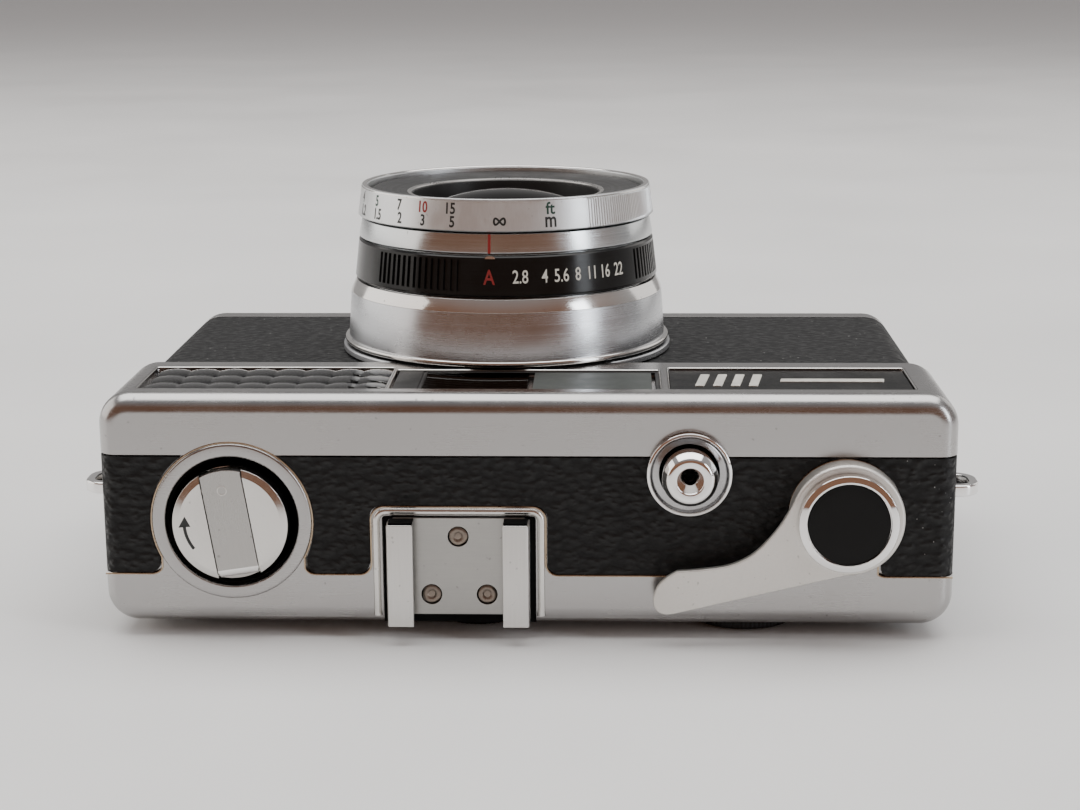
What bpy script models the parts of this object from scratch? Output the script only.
"""A compact 35 mm viewfinder camera with a selenium exposure meter, lying on its back.

Design axes, in millimetres: X runs across the body to the user's right, Y runs from the top
plate (0) down to the base, Z runs from the resting surface (0) out along the lens.
The scene is in metres: an empty carries every piece and centres the camera on the origin.
"""

import math

import bmesh
import bpy

MM = 0.001
GAP = 0.3                     # clearance between neighbouring pieces

# Body
WIDTH = 119.0                 # top cover, across X
HEIGHT = 70.3                 # top plate to base
FRONT = 35.0                  # height of the top cover's front face over the table
BACK = 1.9                    # height of the top cover's back face
COVER_END = 22.3              # lower edge of the top cover
COVER_WALL = 1.9
CORNER = 4.5
BODY_WIDTH = 116.6            # over the leather
BODY_FRONT = 33.8             # face of the front leather
CASTING_WIDTH = 114.4
CASTING_TOP = 22.7
CASTING_BASE = 68.9
CHAMBER_TOP = 18.6            # the casting rises into the top cover over the film cassette
CASTING_BACK = 3.4
CASTING_FRONT = 33.0
PAN_TOP = 65.5                # rim of the bottom cover
LEATHER = 0.5                 # leather thickness
FLAP_END = (9.6, 5.4)         # the front leather wraps round the left and right sides down to here

# Lens
LENS_X = -4.55
LENS_Y = 41.9
LENS = (LENS_X, LENS_Y, 0)
SEAT_R = 25.4                 # ring that the barrel stands on, level with the window band
LIP_R = 25.1
BARREL_R = 24.5
BARREL_TOP = 45.0
APERTURE_RING_R = 23.3
INDEX_RING_R = 22.45
FOCUS_RING_R = 22.65
RIM_R = 22.1
RIM_TOP = 59.4
HOUSING_R = 18.7

# Top plate, as (x, z)
BAND_FRONT = 26.5             # the leather lies between these two
BAND_BACK = 9.3
REWIND = (-41.0, 17.0)
WELL_R = 9.3
WELL_RING_R = 11.3
KNOB_R = 8.1
CRANK_TILT = math.radians(8.8)
CRANK_HINGE = 5.2             # from the knob's centre
BUTTON = (22.55, 24.2)
BUTTON_R = 3.83
HUB = (44.05, 18.4)
BOSS_R = 7.85
HUB_TOP = 5.9                 # height of the hub cap over the top plate
LEVER_TIP = (20.8, 7.9, 3.15) # x, z and radius
LEVER_UPPER = [(36.7, 21.0), (35.2, 18.2), (33.3, 15.7), (30.9, 13.4), (28.0, 12.0), (24.5, 11.4),
               (20.8, 11.1)]
LUG_Y = 12.5                  # middle of the strap lugs
LUG_Z = 19.3
LUG_REACH = 64.2
SHOE_X = -9.3
SHOE_Z = (2.9, 17.4)
SHOE_HALF = 9.85
SHOE_OPENING = 12.4
SHOE_FLOOR = 0.6              # height of the shoe's floor over the top plate
SHOE_FRAME = (-21.6, 2.75, 19.2)
SHOE_POCKET = (-20.05, 1.4, 17.9)
SHOE_SCREWS = [(-9.4, 15.1), (-13.2, 6.7), (-5.45, 6.7)]

# Window band on the front, as x and y ranges
RECESS_DEPTH = 1.0
CELL_X = (-53.6, -19.9)
FRAME_X = (-19.0, 18.6)
FINDER_X = (-15.2, 0.45)
BRIGHTLINE_X = (0.95, 17.95)
PLATE_X = (20.0, 53.8)
BAND_Y = (4.6, 18.7)
FRAME_Y = (4.6, 17.1)

# Film path
CASSETTE_R = 12.9
GATE = (36.0, 24.0)
FILM_Y = (LENS_Y - 17.5, LENS_Y + 17.5)
RAILS = 5.4                   # height of the film plane
TAKEUP_R = 11.8
SPROCKET = (23.5, 9.6)
DOOR_HINGE = (56.6, 2.4)
EYEPIECE = (-7.2, 12.2)
DIAL = (30.8, 11.6)
EYEPIECE_R = 6.8
DIAL_R = 8.0
DOOR_TOP = 20.1
DOOR_Y = (DOOR_TOP, 65.1)
TRIPOD = (LENS_X, 17.5)         # points on the base, as (x, z)
BOTTOM_SCREWS = [(-20.0, 27.0), (18.0, 27.0)]
COUNTER_OFFSET = 5.0            # of the counter's window, from the disc's centre
BLADE_PIVOT = (4.5, 13.0)       # of a shutter blade, from the lens axis

UP = (math.radians(90), 0, 0)       # local Z points out of the top plate
DOWN = (math.radians(-90), 0, 0)    # local Z points out of the base
OUT = (0, 0, 0)                     # local Z points along the lens


def clear_scene():
    for thing in list(bpy.data.objects):
        bpy.data.objects.remove(thing, do_unlink=True)


def new_collection(name):
    collection = bpy.data.collections.new(name)
    bpy.context.scene.collection.children.link(collection)
    return collection


clear_scene()
CAMERA = new_collection("viewfinder_camera")
CUTTERS = new_collection("cutters")
CENTRE = bpy.data.objects.new("camera_centre", None)
CAMERA.objects.link(CENTRE)
CENTRE.location = (0, -(HEIGHT - HUB_TOP) / 2 * MM, 0)


def material(name, colour, roughness, metallic):
    made = bpy.data.materials.new(name)
    made.use_nodes = True
    shader = made.node_tree.nodes["Principled BSDF"]
    shader.inputs["Base Color"].default_value = (*colour, 1)
    shader.inputs["Roughness"].default_value = roughness
    shader.inputs["Metallic"].default_value = metallic
    made.diffuse_color = (*colour, 1)
    return made


FINISHES = {
    "satin": ((0.66, 0.65, 0.63), 0.34, 1.0),
    "chrome": ((0.8, 0.8, 0.8), 0.1, 1.0),
    "brushed": ((0.7, 0.69, 0.67), 0.4, 1.0),
    "casting": ((0.08, 0.08, 0.085), 0.6, 1.0),
    "black_metal": ((0.02, 0.02, 0.022), 0.35, 0.0),
    "leather": ((0.012, 0.012, 0.013), 0.6, 0.0),
    "black_plastic": ((0.015, 0.015, 0.016), 0.4, 0.0),
    "glass": ((0.75, 0.78, 0.8), 0.05, 0.0),
    "cell": ((0.25, 0.26, 0.28), 0.4, 0.3),
}


def place(name, mesh, finish, at=(0, 0, 0), turn=OUT, cutter=False):
    """Make an object of this mesh with its origin at a design point."""
    thing = bpy.data.objects.new(name, mesh)
    thing.location = [value * MM for value in at]
    thing.rotation_euler = turn
    thing.parent = CENTRE
    (CUTTERS if cutter else CAMERA).objects.link(thing)
    if cutter:
        thing.hide_render = True
        thing.display_type = "WIRE"
    else:
        thing.data.materials.append(material(name, *FINISHES[finish]))
    return thing


def mesh_of(work, name):
    bmesh.ops.recalc_face_normals(work, faces=work.faces)
    mesh = bpy.data.meshes.new(name)
    work.to_mesh(mesh)
    work.free()
    return mesh


def box_mesh(name, low, high, corner=0.0, along=1, rim=0.0, rim_side=None, segments=4):
    """A box with its four edges along one axis rounded, and then one end's rim."""
    work = bmesh.new()
    bmesh.ops.create_cube(work, size=1.0)
    for vertex in work.verts:
        for k in range(3):
            vertex.co[k] = (low[k] if vertex.co[k] < 0 else high[k]) * MM
    if corner:
        edges = [e for e in work.edges if abs(e.verts[0].co[along] - e.verts[1].co[along]) > MM]
        bmesh.ops.bevel(work, geom=edges, offset=corner * MM, segments=segments, profile=0.5,
                        affect="EDGES")
    if rim:
        side = rim_side * MM
        edges = [e for e in work.edges if all(abs(v.co[along] - side) < 1e-6 for v in e.verts)]
        bmesh.ops.bevel(work, geom=edges, offset=rim * MM, segments=3, profile=0.5, affect="EDGES")
    return mesh_of(work, name)


def box(name, low, high, finish="satin", origin=(0, 0, 0), cutter=False, **shape):
    low = [a - o for a, o in zip(low, origin)]
    high = [a - o for a, o in zip(high, origin)]
    if shape.get("rim"):
        shape["rim_side"] -= origin[shape.get("along", 1)]
    return place(name, box_mesh(name, low, high, **shape), finish, origin, cutter=cutter)


def turned(name, profile, finish="satin", at=(0, 0, 0), turn=OUT, steps=26, closed=False, cutter=False):
    """A profile of (radius, height) points, spun round the object's own Z axis."""
    work = bmesh.new()
    points = [work.verts.new((r * MM, 0, h * MM)) for r, h in profile]
    for a, b in zip(points, points[1:]):
        work.edges.new((a, b))
    if closed:
        work.edges.new((points[-1], points[0]))
    mesh = bpy.data.meshes.new(name)
    work.to_mesh(mesh)
    work.free()
    thing = place(name, mesh, finish, at, turn, cutter)
    spin = thing.modifiers.new("spin", "SCREW")
    spin.axis = "Z"
    spin.steps = steps
    spin.render_steps = steps
    spin.use_merge_vertices = True
    spin.merge_threshold = 0.00001
    spin.use_smooth_shade = False
    return thing


def disc(name, radius, low, high, **options):
    return turned(name, [(0, high), (radius, high), (radius, low), (0, low)], **options)


def ring(name, inner, outer, low, high, **options):
    profile = [(inner, high), (outer, high), (outer, low), (inner, low)]
    return turned(name, profile, closed=True, **options)


def extruded(name, outline, low, high, finish="satin", at=(0, 0, 0), turn=OUT, cutter=False):
    """A flat outline of (x, y) points in the object's own plane, as a filled 2D curve made a mesh."""
    curve = bpy.data.curves.new(name, "CURVE")
    curve.dimensions = "2D"
    curve.fill_mode = "BOTH"
    curve.extrude = (high - low) / 2 * MM
    spline = curve.splines.new("POLY")
    spline.points.add(len(outline) - 1)
    for point, (x, y) in zip(spline.points, outline):
        point.co = (x * MM, y * MM, 0, 1)
    spline.use_cyclic_u = True
    guide = bpy.data.objects.new(name + "_guide", curve)
    CUTTERS.objects.link(guide)
    bpy.context.view_layer.update()
    mesh = bpy.data.meshes.new_from_object(guide.evaluated_get(bpy.context.evaluated_depsgraph_get()))
    bpy.data.objects.remove(guide, do_unlink=True)
    work = bmesh.new()
    work.from_mesh(mesh)
    bmesh.ops.remove_doubles(work, verts=work.verts, dist=1e-6)
    bmesh.ops.translate(work, verts=work.verts, vec=(0, 0, (low + high) / 2 * MM))
    solid = mesh_of(work, name)
    return place(name, solid, finish, at, turn, cutter)


def boolean(thing, other, operation="DIFFERENCE"):
    step = thing.modifiers.new(operation.lower(), "BOOLEAN")
    step.operation = operation
    step.solver = "EXACT"
    step.object = other


def cut(thing, *others):
    for other in others:
        boolean(thing, other)


def join(thing, *others):
    for other in others:
        boolean(thing, other, "UNION")


def on_top(point, height=0.0):
    """A design point on the top plate, this far above it."""
    return (point[0], -height, point[1])


def on_base(point):
    return (point[0], HEIGHT, point[1])


def hole(name, radius, low, high, at, turn=OUT, steps=24):
    return disc(name, radius, low, high, at=at, turn=turn, steps=steps, cutter=True)


# Top cover and what is set in it

def top_cover():
    half = WIDTH / 2
    cover = box("top_cover", (-half, 0, BACK), (half, COVER_END, FRONT), "satin",
                corner=CORNER, rim=2.0, rim_side=0)
    inner = box("cover_inside", (-half + COVER_WALL, 2.0, BACK + 1.2),
                (half - COVER_WALL, COVER_END + 1, FRONT - 2.2),
                corner=3.0, cutter=True)
    cut(cover, inner, leather_recess())
    rim = ring("well_ring", WELL_R, WELL_RING_R, -1.0, 0.35, at=on_top(REWIND), turn=UP, cutter=True)
    join(cover, rim)
    cut(cover, hole("well_hole", WELL_R + 1.2, -4, -0.4, on_top(REWIND), UP))
    cut(cover, hole("well_mouth", WELL_R, -4, 3, on_top(REWIND), UP))
    pocket_low, pocket_high, pocket_end = SHOE_POCKET
    cut(cover, box("shoe_pocket", (pocket_low, -1, 0), (pocket_high, 0.5, pocket_end), cutter=True))
    for at in SHOE_SCREWS:
        cut(cover, hole("shoe_hole", 1.2, -4, 3, on_top(at), UP, 12))
    cut(cover, hole("button_hole", 5.0, -4, 3, on_top(BUTTON), UP))
    cut(cover, hole("lever_hole", 3.0, -4, 3, on_top(HUB), UP, 24))
    floor = FRONT - RECESS_DEPTH
    for name, x, y in (("cell_recess", (-54.7, -19.6), (4.3, 18.95)),
                       ("finder_recess", (-21, 18.8), (4.3, 17.4)),
                       ("plate_recess", (19.8, 54.0), (4.3, 18.95))):
        cut(cover, box(name, (x[0], y[0], floor), (x[1], y[1], FRONT + 2), cutter=True))
    for name, x, y in (("cell_opening", (-52, -21), (6.2, 17.2)),
                       ("finder_opening", (-14.2, -0.4), (5.8, 15.9)),
                       ("brightline_opening", (1.9, 17.0), (5.8, 15.9))):
        cut(cover, box(name, (x[0], y[0], FRONT - 4), (x[1], y[1], FRONT), cutter=True))
    cut(cover, hole("eyepiece_hole", 5.2, -2, 5, (*EYEPIECE, 0)))
    cut(cover, hole("dial_hole", 1.6, -2, 5, (*DIAL, 0), steps=16))
    for side in (-1, 1):
        cut(cover, lug_slot("lug_slot", side))
    cut(cover, box("door_edge", (-80, DOOR_TOP - GAP, -5), (80, 40, CASTING_BACK + 1.4), cutter=True))


def leather_block(name, spare, cutter=True):
    """The leather strap's outer block across the top, grown by a clearance."""
    return box(name, (-80, -2, BAND_BACK - spare), (80, COVER_END + 2, BAND_FRONT + spare), cutter=cutter)


def well_and_shoe(spare):
    """The two places that the top leather leaves bare."""
    low, high, end = SHOE_FRAME
    well = hole("leather_well", WELL_RING_R + spare, -30, 5, on_top(REWIND), UP)
    shoe = box("leather_shoe", (low - spare, -5, -5), (high + spare, 5, end + spare),
               corner=1.4, along=1, cutter=True)
    return well, shoe


def leather_recess():
    """What is cut from the cover for the leather: a shallow channel over the top and both sides."""
    channel = leather_block("recess_block", 0.0)
    core = box("recess_core", (-WIDTH / 2 + 0.8, 0.7, -5), (WIDTH / 2 - 0.8, COVER_END + 5, 60),
               corner=1.6, along=2, cutter=True)
    cut(channel, core, *well_and_shoe(0.0))
    return channel


def top_leathers():
    inset = 0.1
    for name, low, high in (("top_leather_left", -80, REWIND[0]), ("top_leather_right", REWIND[0], 80)):
        end = COVER_END - 0.4
        strap = box(name, (-WIDTH / 2 + inset, -0.1, BAND_BACK + GAP),
                    (WIDTH / 2 - inset, end, BAND_FRONT - GAP),
                    "leather", corner=2.0, along=2, segments=4)
        core = box("strap_core", (-WIDTH / 2 + inset + LEATHER - 0.1, 0.4, -5),
                   (WIDTH / 2 - inset - LEATHER + 0.1, 40, 60),
                   corner=1.6, along=2, cutter=True)
        half = box("strap_half", (low, -5, -5), (high, 40, 60), cutter=True)
        cut(strap, core, *well_and_shoe(GAP))
        boolean(strap, half, "INTERSECT")
        if low < -60:
            cut(strap, lug_slot("flap_slot", -1))
        else:
            cut(strap, lug_slot("flap_slot", 1))
            cut(strap, hole("leather_button", 5.0, -4, 3, on_top(BUTTON), UP))
            cut(strap, hole("leather_lever", 3.3, -4, 3, on_top(HUB), UP, 24))


def lug_slot(name, side):
    low, high = sorted((side * 55.0, side * 61.0))
    return box(name, (low, LUG_Y - 4.3, LUG_Z - 1.3), (high, LUG_Y + 4.3, LUG_Z + 1.3), cutter=True)


def strap_lugs():
    """A flat band bent to a loop, on a plate inside the cover."""
    for name, side in (("strap_lug_left", -1), ("strap_lug_right", 1)):
        half = 3.9
        steps = 6
        outer = [(56.8, -half)]
        outer += [(LUG_REACH - 2.2 + 2.2 * math.sin(a), -half + 2.2 - 2.2 * math.cos(a))
                  for a in (math.pi / 2 * k / steps for k in range(steps + 1))]
        outline = outer + [(x, -y) for x, y in reversed(outer)]
        outline = [(side * x, y) for x, y in outline]
        loop = extruded(name, outline, -0.9, 0.9, "chrome", (0, LUG_Y, LUG_Z))
        low, high = sorted((side * 50, side * (LUG_REACH - 1.3)))
        cut(loop, box("lug_eye", (low, LUG_Y - 2.6, LUG_Z - 5), (high, LUG_Y + 2.6, LUG_Z + 5),
                      corner=1.0, along=2, cutter=True))
        low, high = sorted((side * 56.2, side * 57.2))
        join(loop, box("lug_plate", (low, LUG_Y - 5, LUG_Z - 2.5), (high, LUG_Y + 5, LUG_Z + 2.5),
                       cutter=True))


def accessory_shoe():
    """A channel section: floor, two webs and two lips turned in over the slot."""
    half, lip = SHOE_HALF, SHOE_OPENING / 2
    web, under, top = 0.5, 2.8, 3.6
    right = [(lip, under), (lip, top), (half, top), (half, -0.2)]
    inside = [(half - web, under), (half - web, SHOE_FLOOR)]
    outline = [(-x, y) for x, y in right] + [(x, y) for x, y in reversed(right)]
    outline += inside + [(-x, y) for x, y in reversed(inside)]
    shoe = extruded("accessory_shoe", [(x, y) for x, y in outline], 0, SHOE_Z[1] - SHOE_Z[0], "brushed",
                    (SHOE_X, 0, SHOE_Z[0]), (0, 0, 0))
    for vertex in shoe.data.vertices:        # heights run towards -Y
        vertex.co.y = -vertex.co.y
    shoe.data.flip_normals()
    for at in SHOE_SCREWS:
        cut(shoe, hole("shoe_screw_hole", 1.6, -4, 3, on_top(at), UP, 12))
    head = SHOE_FLOOR
    profile = [(0, head), (1.3, head), (1.3, head - 0.5), (0.9, head - 0.6), (0.9, -3.2), (0, -3.2)]
    for k, at in enumerate(SHOE_SCREWS, 1):
        turned(f"shoe_screw_{k}", profile, "brushed", on_top(at), UP, steps=12)


def window_band():
    low, high = FRONT - 0.7, FRONT - 0.2
    box("cell_window", (CELL_X[0], BAND_Y[0], low), (CELL_X[1], BAND_Y[1], high), "glass", corner=0.4,
        along=2)
    box("selenium_cell", (-52.6, 5.4, 31.0), (-20.4, 18.0, 32.4), "cell")
    frame = box("window_frame", (FRAME_X[0] + 0.2, FRAME_Y[0], low), (FRAME_X[1], FRAME_Y[1], high),
                "black_plastic")
    for name, x in (("finder_window", FINDER_X), ("brightline_window", BRIGHTLINE_X)):
        edge = 0.5
        cut(frame, box(name + "_opening", (x[0], 5.2, 30), (x[1] - edge, 16.5, 40), cutter=True))
        box(name, (x[0] + GAP, 5.5, low + 0.1), (x[1] - edge - GAP, 16.2, high - 0.1), "glass")
    box("name_plate", (PLATE_X[0] + 0.1, BAND_Y[0], low), (PLATE_X[1] - 0.1, BAND_Y[1], high),
        "black_metal")


def viewfinder():
    x, y = EYEPIECE
    tube = box("viewfinder_tube", (x - 8.3, 4.0, 6.2), (x + 8.3, 19.5, 31.6), "black_plastic")
    cut(tube, box("tube_inside", (x - 7.3, 5.0, 0), (x + 7.3, 18.5, 40), cutter=True))
    turned("eyepiece_lens", [(0, 4.2), (3, 4.1), (4.8, 3.7), (4.8, 1.9), (0, 1.9)], "glass", (x, y, 0),
           steps=24)
    ring("eyepiece_ring", 4.8, EYEPIECE_R, 0.1, 1.6, finish="black_plastic", at=(x, y, 0))
    dial = disc("film_reminder_dial", DIAL_R, 0.1, 1.6, finish="black_plastic", at=(*DIAL, 0))
    join(dial, disc("dial_stub", 1.3, 1.2, 4.6, at=(*DIAL, 0), steps=16, cutter=True))


# Rewind knob with its folding crank

def crank_point(along, across=0.0, height=0.0):
    """A design point in the crank's own directions: along it from the knob's centre, and across it."""
    sine, cosine = math.sin(CRANK_TILT), math.cos(CRANK_TILT)
    x = REWIND[0] - along * sine + across * cosine
    z = REWIND[1] + along * cosine + across * sine
    return (x, -height, z)


def crank_box(name, along, across, height, finish="brushed", cutter=True, **shape):
    """A box lying along the crank, with its origin on the crank's hinge."""
    low = (across[0], along[0] - CRANK_HINGE, height[0] - 1.3)
    high = (across[1], along[1] - CRANK_HINGE, height[1] - 1.3)
    thing = place(name, box_mesh(name, low, high, **shape), finish, crank_point(CRANK_HINGE, 0, 1.3),
                  (math.radians(90), -CRANK_TILT, 0), cutter)
    return thing


def rewind():
    at = on_top(REWIND)
    turned("rewind_well", [(9.0, -0.8), (10.0, -0.8), (10.0, -8.0), (2.9, -8.0), (2.9, -7.0), (9.0, -7.0)],
           "black_metal", at, UP, closed=True)
    profile = [(0, 2.0), (7.3, 2.0), (KNOB_R, 1.4), (KNOB_R, -3.5), (0, -3.5)]
    knob = turned("rewind_knob", profile, "chrome", at, UP, steps=30)
    cut(knob, crank_box("crank_slot", (-9, 9), (-3.15, 3.15), (0.35, 5)))
    cut(knob, crank_box("crank_pocket", (CRANK_HINGE - 1.6, 9.5), (-3.05, 3.05), (-0.3, 6)))
    strip = crank_box("rewind_crank", (-7.6, CRANK_HINGE + 1.0), (-2.85, 2.85), (0.6, 2.0), cutter=False)
    for thing in (knob, strip):
        cut(thing, pin_bore("crank_bore", 0.5, 9.0))
    pin_bore("crank_pin", 0.27, 3.9, cutter=False)
    disc("rewind_shaft", 1.9, -22.6, -6.5, finish="brushed", at=at, turn=UP, steps=20)
    fork = bpy.data.objects["rewind_shaft"]
    cut(fork, box("fork_slot", (REWIND[0] - 0.8, 20.6, REWIND[1] - 4),
                  (REWIND[0] + 0.8, 30, REWIND[1] + 4), cutter=True))
    stem = disc("knob_stem", 1.9, -6.2, -3.0, at=at, turn=UP, steps=20, cutter=True)
    join(knob, stem)
    turned("rewind_collar", [(2.3, -14.4), (4.2, -14.4), (4.2, -17.0), (2.3, -17.0)], "brushed", at, UP,
           steps=24, closed=True)


def pin_bore(name, radius, half, cutter=True):
    """A rod across the crank, on the crank's hinge."""
    work = bmesh.new()
    bmesh.ops.create_cone(work, cap_ends=True, segments=14, radius1=radius * MM, radius2=radius * MM,
                          depth=2 * half * MM)
    return place(name, mesh_of(work, name), "brushed", crank_point(CRANK_HINGE, 0, 1.3),
                 (0, math.radians(90) - CRANK_TILT, 0), cutter)


# Shutter button and wind lever

def shutter_button():
    at = on_top(BUTTON)
    profile = [(4.15, 0.2), (4.6, 0.9), (5.2, 1.6), (5.6, 1.6), (5.87, 1.2), (5.87, 0.4), (4.7, 0.4),
               (4.7, -3.2), (4.15, -3.2)]
    turned("button_bezel", profile, "chrome", at, UP, steps=28, closed=True)
    profile = [(0, 1.2), (1.1, 1.2), (1.1, 4.2), (1.9, 4.9), (3.2, 4.9), (BUTTON_R, 4.2), (BUTTON_R, -3.0),
               (2.0, -3.0), (2.0, -9.0), (0, -9.0)]
    turned("shutter_button", profile, "chrome", at, UP, steps=24)


def arc(centre, radius, start, end, steps):
    """Points on an arc, between two angles in degrees."""
    found = []
    for k in range(steps + 1):
        angle = math.radians(start + (end - start) * k / steps)
        found.append((centre[0] + radius * math.cos(angle), centre[1] + radius * math.sin(angle)))
    return found


def wind_lever():
    """A flat lever that widens into the boss round the hub."""
    x, z = HUB
    tip_x, tip_z, tip_r = LEVER_TIP
    outline = arc(HUB, BOSS_R, -75, 160, 22)
    outline += LEVER_UPPER
    outline += arc((tip_x, tip_z), tip_r, 100, 262, 8)
    lever = extruded("wind_lever", [(a - x, b - z) for a, b in outline], 2.6, 3.7, "brushed", on_top(HUB),
                     UP)
    join(lever, disc("lever_skirt", 7.3, 0.5, 3.0, at=on_top(HUB), turn=UP, cutter=True))
    join(lever, disc("lever_shaft", 2.6, -13.0, 1.0, at=on_top(HUB), turn=UP, steps=24, cutter=True))
    profile = [(0, 5.0), (5.95, 5.0), (5.95, 5.75), (6.15, 5.75), (6.8, 4.9), (6.8, 4.0), (0, 4.0)]
    turned("wind_hub_cap", profile, "chrome", on_top(HUB), UP)
    disc("hub_disc", 5.65, 5.3, HUB_TOP, finish="black_metal", at=on_top(HUB), turn=UP)


# Body casting, leather and bottom cover

def body_casting():
    half = CASTING_WIDTH / 2
    casting = box("body_casting", (-half, CASTING_TOP, CASTING_BACK), (half, CASTING_BASE, CASTING_FRONT),
                  "casting", corner=4.0)
    join(casting,
         box("cassette_dome", (-56.4, CHAMBER_TOP, CASTING_BACK + 2), (-26.0, CASTING_TOP + 1, 31.6),
                      corner=2.0, cutter=True))
    join(casting, box("light_trap", (-56.4, DOOR_TOP + 0.4, CASTING_BACK),
                      (54.0, CASTING_TOP + 1.2, CASTING_BACK + 2.2),
                      cutter=True))
    x, z = REWIND
    chamber = (CHAMBER_TOP + 1.0, 67.9)
    cut(casting,
        disc("cassette_bore", CASSETTE_R, chamber[0], chamber[1], at=(x, 0, z), turn=DOWN, cutter=True))
    cut(casting, box("cassette_mouth", (x - 12.6, chamber[0] + 0.2, -5), (x + 12.6, chamber[1] - 0.2, z),
                     cutter=True))
    x, z = HUB
    chamber = (23.8, 62.4)
    cut(casting,
        disc("takeup_bore", TAKEUP_R, chamber[0], chamber[1], at=(x, 0, z), turn=DOWN, cutter=True))
    cut(casting,
        box("takeup_mouth", (x - 11.5, chamber[0] + 0.2, -5), (x + 8.0, chamber[1] - 0.2, z), cutter=True))
    cut(casting, box("film_track", (-29, FILM_Y[0] - 0.7, -5), (34, FILM_Y[1] + 0.7, RAILS), cutter=True))
    low, high = LENS_X - GATE[0] / 2, LENS_X + GATE[0] / 2
    cut(casting,
        box("tunnel", (low, LENS_Y - GATE[1] / 2, 0), (high, LENS_Y + GATE[1] / 2, 28.5), cutter=True))
    cut(casting, hole("lens_throat", 11.8, 26, 40, LENS),
        hole("lens_seat", HOUSING_R + GAP, 31.7, 40, LENS))
    cut(casting, disc("sprocket_trough", 5.6, FILM_Y[0] - 0.2, FILM_Y[1] + 0.2,
                      at=(SPROCKET[0], 0, SPROCKET[1]), turn=DOWN,
                      steps=24, cutter=True))
    cut(casting, box("sprocket_mouth", (SPROCKET[0] - 5.4, FILM_Y[0], 0),
                     (SPROCKET[0] + 5.4, FILM_Y[1], SPROCKET[1]), cutter=True))
    cut(casting, hole("rewind_way", 2.3, -21, -15, on_top(REWIND), UP, 20))
    cut(casting, hole("spool_way", 2.4, -24.5, -20, on_top(HUB), UP, 20))
    cut(casting, hole("tripod_pocket", 7.3, -6.5, 2, on_base(TRIPOD), DOWN))
    cut(casting, hole("release_way", 2.5, -9, 2, on_base(SPROCKET), DOWN, 20))
    cut(casting, hole("counter_pocket", 8.0, -2.7, 2, on_base(HUB), DOWN))
    for at in BOTTOM_SCREWS:
        cut(casting, hole("screw_way", 1.2, -8, 2, on_base(at), DOWN, 12))
    cut(casting, box("latch_groove", (-70, 26, 4.9), (-55.4, 62, 8.6), cutter=True))


def front_leather():
    half = BODY_WIDTH / 2
    skin = box("front_leather", (-half, CASTING_TOP, -20), (half, PAN_TOP - GAP, BODY_FRONT), "leather",
               corner=4.5)
    core = box("leather_core", (-half + LEATHER, 0, -20), (half - LEATHER, 90, BODY_FRONT - LEATHER),
               corner=4.1, cutter=True)
    cut(skin, core)
    for side, end in zip((-80, 0), FLAP_END):
        cut(skin, box("leather_end", (side, 0, -40), (side + 80, 90, end), cutter=True))
    cut(skin, hole("leather_lens", 21.5, 20, 50, LENS, steps=40))


def bottom_cover():
    half = BODY_WIDTH / 2
    pan = box("bottom_cover", (-half, PAN_TOP, 0.8), (half, HEIGHT, BODY_FRONT), "satin",
              corner=CORNER, rim=1.4, rim_side=HEIGHT)
    wall = 0.7
    cut(pan, box("pan_inside", (-half + wall, 0, 1.6), (half - wall, HEIGHT - 1.0, BODY_FRONT - 0.6),
                 corner=3.9, cutter=True))
    cut(pan, hole("pan_tripod", 7.3, -9, 2, on_base(TRIPOD), DOWN))
    cut(pan, hole("pan_release", 2.4, -9, 2, on_base(SPROCKET), DOWN, 20))
    cut(pan, hole("pan_counter", 2.3, -9, 2, on_base((HUB[0] - COUNTER_OFFSET, HUB[1])), DOWN, 20))
    for at in BOTTOM_SCREWS:
        cut(pan, hole("pan_screw", 1.9, -9, 2, on_base(at), DOWN, 12))
    x, z = DOOR_HINGE
    cut(pan, disc("pan_pin", 0.8, 60, PAN_TOP + 2.4, at=(x, 0, z), turn=DOWN, steps=16, cutter=True))
    ring("tripod_bush", 3.175, 7.0, -6.0, 0.0, finish="brushed", at=on_base(TRIPOD), turn=DOWN, steps=32)
    turned("rewind_release_button", [(0, -0.3), (1.7, -0.3), (2.0, -0.6), (2.0, -3.6), (0, -3.6)], "chrome",
           on_base(SPROCKET), DOWN, steps=24)
    disc("counter_window", 2.0, -0.9, -0.1, finish="glass", at=on_base((HUB[0] - COUNTER_OFFSET, HUB[1])),
         turn=DOWN, steps=20)
    disc("counter_dial", 7.6, -2.35, -1.7, finish="black_metal", at=on_base(HUB), turn=DOWN)
    profile = [(0, 0), (1.6, 0), (1.6, -0.6), (0.9, -0.9), (0.9, -5.0), (0, -5.0)]
    for k, at in enumerate(BOTTOM_SCREWS, 1):
        turned(f"bottom_screw_{k}", profile, "brushed", on_base(at), DOWN, steps=12)


# Back door and film transport

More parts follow.
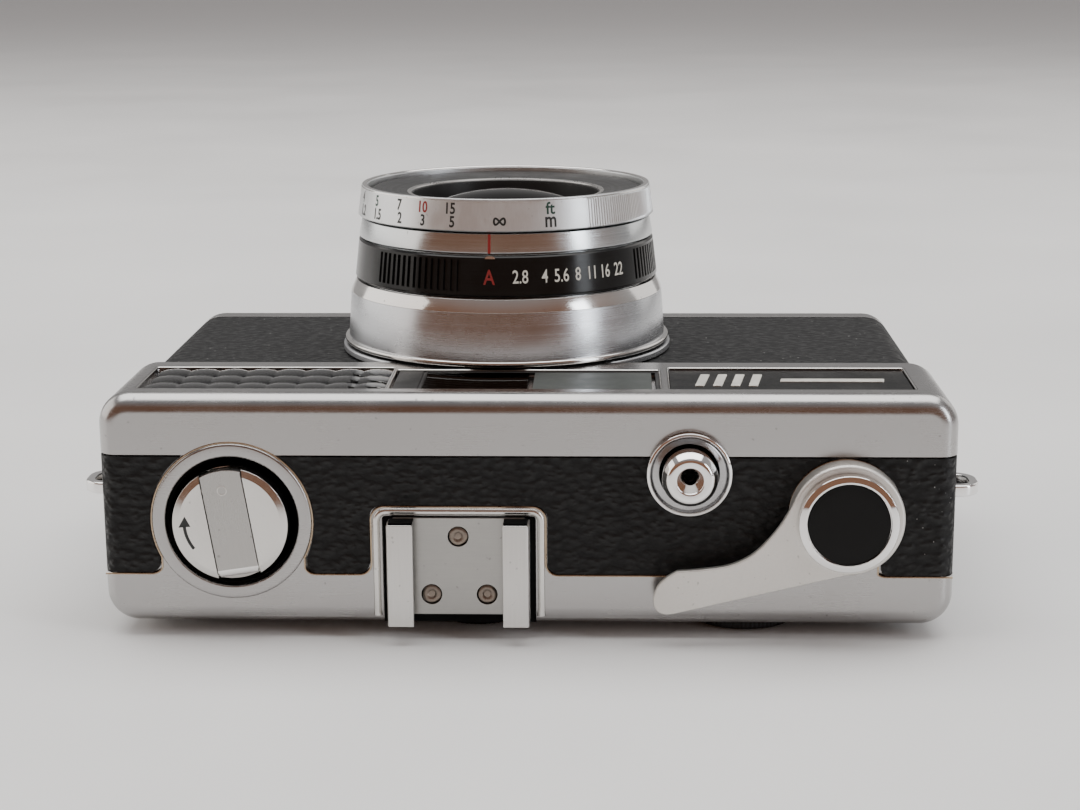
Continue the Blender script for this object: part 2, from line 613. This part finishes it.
def back_door():
    x, z = DOOR_HINGE
    origin = (x, DOOR_Y[0], z)
    door = box("back_door", (-58.2, DOOR_Y[0], 0.8), (x - 0.6, DOOR_Y[1], 1.8), "satin", origin)
    flange = box("door_flange", (-58.2, COVER_END + 0.6, 1.0), (-57.5, DOOR_Y[1] - 0.2, 9.0), cutter=True)
    barrel = disc("door_barrel", 1.5, COVER_END + 1.4, DOOR_Y[1] - 1.4, at=(x, 0, z), turn=DOWN, steps=20,
                  cutter=True)
    join(door, flange, barrel)
    cut(door, disc("door_bore", 0.8, 0, 90, at=(x, 0, z), turn=DOWN, steps=16, cutter=True))
    disc("hinge_pin", 0.45, COVER_END + 0.6, PAN_TOP + 2.0, finish="brushed", at=(x, 0, z), turn=DOWN,
         steps=12)
    box("back_leather", (-56.8, DOOR_Y[0] + 0.6, 0.0), (53.8, DOOR_Y[1] - 0.6, 0.5), "leather",
        corner=1.0, along=2)
    low, high = LENS_X - 22, LENS_X + 22
    box("pressure_plate", (low, LENS_Y - 15.8, 3.6), (high, LENS_Y + 15.8, 4.5), "black_metal",
        corner=1.5, along=2)
    box("pressure_spring", (low + 8, LENS_Y - 2, 2.15), (high - 8, LENS_Y + 2, 2.75), "brushed")


def film_transport():
    x, z = HUB
    at = (x, 0, z)
    low, high = FILM_Y
    profile = [(0, high + 1.0), (7.0, high + 1.0), (7.0, high), (4.8, high), (4.8, low + 1.0),
               (7.0, low + 1.0),
               (7.0, low), (0, low)]
    turned("takeup_spool", profile, "black_plastic", at, DOWN, steps=28)
    spool = bpy.data.objects["takeup_spool"]
    cut(spool, box("spool_slot", (x - 0.9, LENS_Y - 8, z - 20), (x + 0.9, LENS_Y + 8, z + 20), cutter=True))
    x, z = SPROCKET
    rows = (LENS_Y - 14.1, LENS_Y + 14.1)
    profile = [(0, rows[1] + 1.7), (4.2, rows[1] + 1.7), (4.2, rows[1] - 1.7), (2.6, rows[1] - 1.7),
               (2.6, rows[0] + 1.7), (4.2, rows[0] + 1.7), (4.2, rows[0] - 1.7), (0, rows[0] - 1.7)]
    wheel = turned("sprocket", profile, "brushed", (x, 0, z), DOWN, steps=24)
    for row in rows:
        for k in range(8):
            angle = 2 * math.pi * k / 8
            tooth = box_mesh("tooth", (-0.6, -0.6, 3.6), (0.6, 0.6, 5.0))
            cutter = place("tooth", tooth, "brushed", (x, row, z), (0, angle, 0), cutter=True)
            join(wheel, cutter)


def door_latch():
    box("door_latch", (-57.0, 30.0, 5.4), (-55.8, 60.0, 8.1), "brushed")


# Lens and shutter

def lens():
    flange = ring("lens_flange", 21.9, SEAT_R, BODY_FRONT + GAP, FRONT, finish="satin", at=LENS, steps=36)
    cut(flange, box("band_clearance", (-50, 0, 30), (50, COVER_END + GAP, 38), cutter=True))
    cut(flange, box("pan_clearance", (-50, PAN_TOP - GAP, 30), (50, 80, 38), cutter=True))
    profile = [(21.9, BARREL_TOP), (23.3, BARREL_TOP), (24.0, 43.1), (BARREL_R, 36.1), (LIP_R, 36.1),
               (LIP_R, 35.3), (21.9, 35.3)]
    turned("lens_barrel", profile, "satin", LENS, steps=36, closed=True)
    profile = [(21.5, 51.3), (22.6, 51.3), (23.0, 51.0), (APERTURE_RING_R, 45.7), (23.0, 45.3),
               (21.5, 45.3)]
    turned("aperture_ring", profile, "black_metal", LENS, steps=36, closed=True)
    profile = [(20.1, 54.4), (INDEX_RING_R, 54.4), (INDEX_RING_R, 51.6), (21.2, 51.6), (21.2, 35.4),
               (20.1, 35.4)]
    turned("index_ring", profile, "satin", LENS, steps=36, closed=True)
    profile = [(21.2, RIM_TOP), (RIM_R - 0.2, RIM_TOP), (RIM_R, 59.1), (FOCUS_RING_R, 55.0), (22.4, 54.7),
               (20.8, 54.7), (20.8, 57.4), (21.2, 57.8)]
    turned("focus_ring", profile, "satin", LENS, steps=36, closed=True)
    profile = [(20.5, 58.6), (20.5, 54.8), (19.4, 54.6), (19.4, 53.15), (14.3, 53.15), (14.3, 57.6),
               (14.9, 58.1)]
    turned("retaining_ring", profile, "black_metal", LENS, steps=36, closed=True)
    dome = [(14.0 * math.sin(a), 54.9 + 3.4 * math.cos(a)) for a in (math.pi / 2 * k / 6 for k in range(7))]
    turned("front_element", dome + [(14.0, 53.5), (0, 53.5)], "glass", LENS, steps=32)
    profile = [(7.2, 44.2), (17.6, 44.2), (17.6, 46.4), (HOUSING_R, 46.4), (HOUSING_R, 32.0),
               (11.4, 32.0), (11.4, 23.0), (8.9, 23.0), (8.9, 28.0), (7.2, 28.6)]
    turned("shutter_housing", profile, "black_metal", LENS, steps=32, closed=True)
    dome = [(8.5 * math.sin(a), 24.6 - 1.4 * math.cos(a)) for a in (math.pi / 2 * k / 4 for k in range(5))]
    turned("rear_element", [(0, 27.6), (8.5, 27.6)] + list(reversed(dome)), "glass", LENS, steps=28)
    for name, side, level in (("shutter_blade_1", 1, 44.6), ("shutter_blade_2", -1, 45.3)):
        pivot = (LENS_X + side * BLADE_PIVOT[0], LENS_Y + BLADE_PIVOT[1], 0)
        outline = [(-4.8, -20.0), (-3.8, -20.6), (2.2, -20.6), (3.2, -19.6), (3.2, -6.0)]
        outline += arc((0, 0), 2.0, 0, 180, 8) + [(-4.8, -6.0)]
        extruded(name, [(side * a, b) for a, b in outline], level, level + 0.4, "black_metal", pivot)


def build():
    top_cover()
    top_leathers()
    strap_lugs()
    accessory_shoe()
    window_band()
    viewfinder()
    rewind()
    shutter_button()
    wind_lever()
    body_casting()
    front_leather()
    bottom_cover()
    back_door()
    film_transport()
    door_latch()
    lens()


build()
